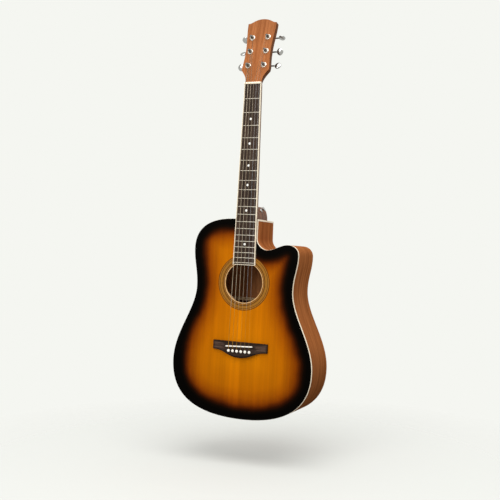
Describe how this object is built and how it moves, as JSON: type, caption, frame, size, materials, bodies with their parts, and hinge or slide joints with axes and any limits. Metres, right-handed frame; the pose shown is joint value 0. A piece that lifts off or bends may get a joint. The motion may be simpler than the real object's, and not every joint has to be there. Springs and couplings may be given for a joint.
{
  "type": "acoustic guitar",
  "caption": "Cutaway steel-string acoustic guitar with a hollow wooden body, round sound hole, bolted-on neck, tilted headstock and geared tuning machines that turn.",
  "frame": {"origin": "middle of the nut's face, on the neck's top plane, at the height where a wall hanger's yoke holds the guitar under its headstock", "axes": "+Z along the neck towards the headstock, +Y out of the back, +X towards the treble side"},
  "size_m": [0.369, 0.1341, 0.9963],
  "materials": {
    "burst_spruce": "gloss lacquer, amber shading to black at the edge",
    "mahogany": "gloss lacquer",
    "neck_wood": "satin lacquer",
    "rosewood": "oiled",
    "bare_wood": "unfinished",
    "cream_plastic": "polished",
    "rosette_inlay": "gloss lacquer",
    "chrome": "polished",
    "plain_steel": "drawn wire",
    "wound_bronze": "wound wire"
  },
  "bodies": {
    "guitar": {"soundboard": "burst_spruce", "sides": "mahogany", "back": "mahogany", "neck": "neck_wood", "bridge": "rosewood", "fingerboard": "rosewood", "top_lining": "bare_wood", "back_lining": "bare_wood", "neck_block": "bare_wood", "tail_block": "bare_wood", "x_brace": "bare_wood", "upper_brace": "bare_wood", "back_brace_upper": "bare_wood", "back_brace_middle": "bare_wood", "back_brace_lower": "bare_wood", "bridge_plate": "bare_wood", "top_binding": "cream_plastic", "saddle": "cream_plastic", "nut": "cream_plastic", "fingerboard_binding": "cream_plastic", "rosette": "rosette_inlay", "truss_rod": "plain_steel", "heel_strap_button": "chrome", "end_pin": "chrome", "bridge_pin_1": "cream_plastic", "string_1": "plain_steel", "tuner_housing_1": "chrome", "tuner_bushing_1": "chrome", "bridge_pin_2": "cream_plastic", "string_2": "plain_steel", "tuner_housing_2": "chrome", "tuner_bushing_2": "chrome", "bridge_pin_3": "cream_plastic", "string_3": "wound_bronze", "tuner_housing_3": "chrome", "tuner_bushing_3": "chrome", "bridge_pin_4": "cream_plastic", "string_4": "wound_bronze", "tuner_housing_4": "chrome", "tuner_bushing_4": "chrome", "bridge_pin_5": "cream_plastic", "string_5": "wound_bronze", "tuner_housing_5": "chrome", "tuner_bushing_5": "chrome", "bridge_pin_6": "cream_plastic", "string_6": "wound_bronze", "tuner_housing_6": "chrome", "tuner_bushing_6": "chrome"},
    "button_1": {"tuner_button_1": "chrome"},
    "post_1": {"tuner_post_1": "chrome"},
    "button_2": {"tuner_button_2": "chrome"},
    "post_2": {"tuner_post_2": "chrome"},
    "button_3": {"tuner_button_3": "chrome"},
    "post_3": {"tuner_post_3": "chrome"},
    "button_4": {"tuner_button_4": "chrome"},
    "post_4": {"tuner_post_4": "chrome"},
    "button_5": {"tuner_button_5": "chrome"},
    "post_5": {"tuner_post_5": "chrome"},
    "button_6": {"tuner_button_6": "chrome"},
    "post_6": {"tuner_post_6": "chrome"}
  },
  "joints": [
    {"name": "button_1_turn", "type": "hinge", "parent": "guitar", "child": "button_1", "pos_m": [0.0208, 0.03052, 0.05072], "axis": [1, 0, 0], "continuous": true},
    {"name": "post_1_turn", "type": "hinge", "parent": "guitar", "child": "post_1", "pos_m": [0.0208, 0.00827, 0.0491], "axis": [0, -0.9703, 0.2419], "continuous": true},
    {"name": "button_2_turn", "type": "hinge", "parent": "guitar", "child": "button_2", "pos_m": [0.0208, 0.03964, 0.0873], "axis": [1, 0, 0], "continuous": true},
    {"name": "post_2_turn", "type": "hinge", "parent": "guitar", "child": "post_2", "pos_m": [0.0208, 0.01739, 0.08568], "axis": [0, -0.9703, 0.2419], "continuous": true},
    {"name": "button_3_turn", "type": "hinge", "parent": "guitar", "child": "button_3", "pos_m": [0.0208, 0.04876, 0.12388], "axis": [1, 0, 0], "continuous": true},
    {"name": "post_3_turn", "type": "hinge", "parent": "guitar", "child": "post_3", "pos_m": [0.0208, 0.02651, 0.12226], "axis": [0, -0.9703, 0.2419], "continuous": true},
    {"name": "button_4_turn", "type": "hinge", "parent": "guitar", "child": "button_4", "pos_m": [-0.0208, 0.04876, 0.12388], "axis": [-1, 0, 0], "continuous": true},
    {"name": "post_4_turn", "type": "hinge", "parent": "guitar", "child": "post_4", "pos_m": [-0.0208, 0.02651, 0.12226], "axis": [0, -0.9703, 0.2419], "continuous": true},
    {"name": "button_5_turn", "type": "hinge", "parent": "guitar", "child": "button_5", "pos_m": [-0.0208, 0.03964, 0.0873], "axis": [-1, 0, 0], "continuous": true},
    {"name": "post_5_turn", "type": "hinge", "parent": "guitar", "child": "post_5", "pos_m": [-0.0208, 0.01739, 0.08568], "axis": [0, -0.9703, 0.2419], "continuous": true},
    {"name": "button_6_turn", "type": "hinge", "parent": "guitar", "child": "button_6", "pos_m": [-0.0208, 0.03052, 0.05072], "axis": [-1, 0, 0], "continuous": true},
    {"name": "post_6_turn", "type": "hinge", "parent": "guitar", "child": "post_6", "pos_m": [-0.0208, 0.00827, 0.0491], "axis": [0, -0.9703, 0.2419], "continuous": true}
  ],
  "couplings": [
    {"joint": "post_1_turn", "follows": "button_1_turn", "ratio": 0.071429},
    {"joint": "post_2_turn", "follows": "button_2_turn", "ratio": 0.071429},
    {"joint": "post_3_turn", "follows": "button_3_turn", "ratio": 0.071429},
    {"joint": "post_4_turn", "follows": "button_4_turn", "ratio": 0.071429},
    {"joint": "post_5_turn", "follows": "button_5_turn", "ratio": 0.071429},
    {"joint": "post_6_turn", "follows": "button_6_turn", "ratio": 0.071429}
  ]
}
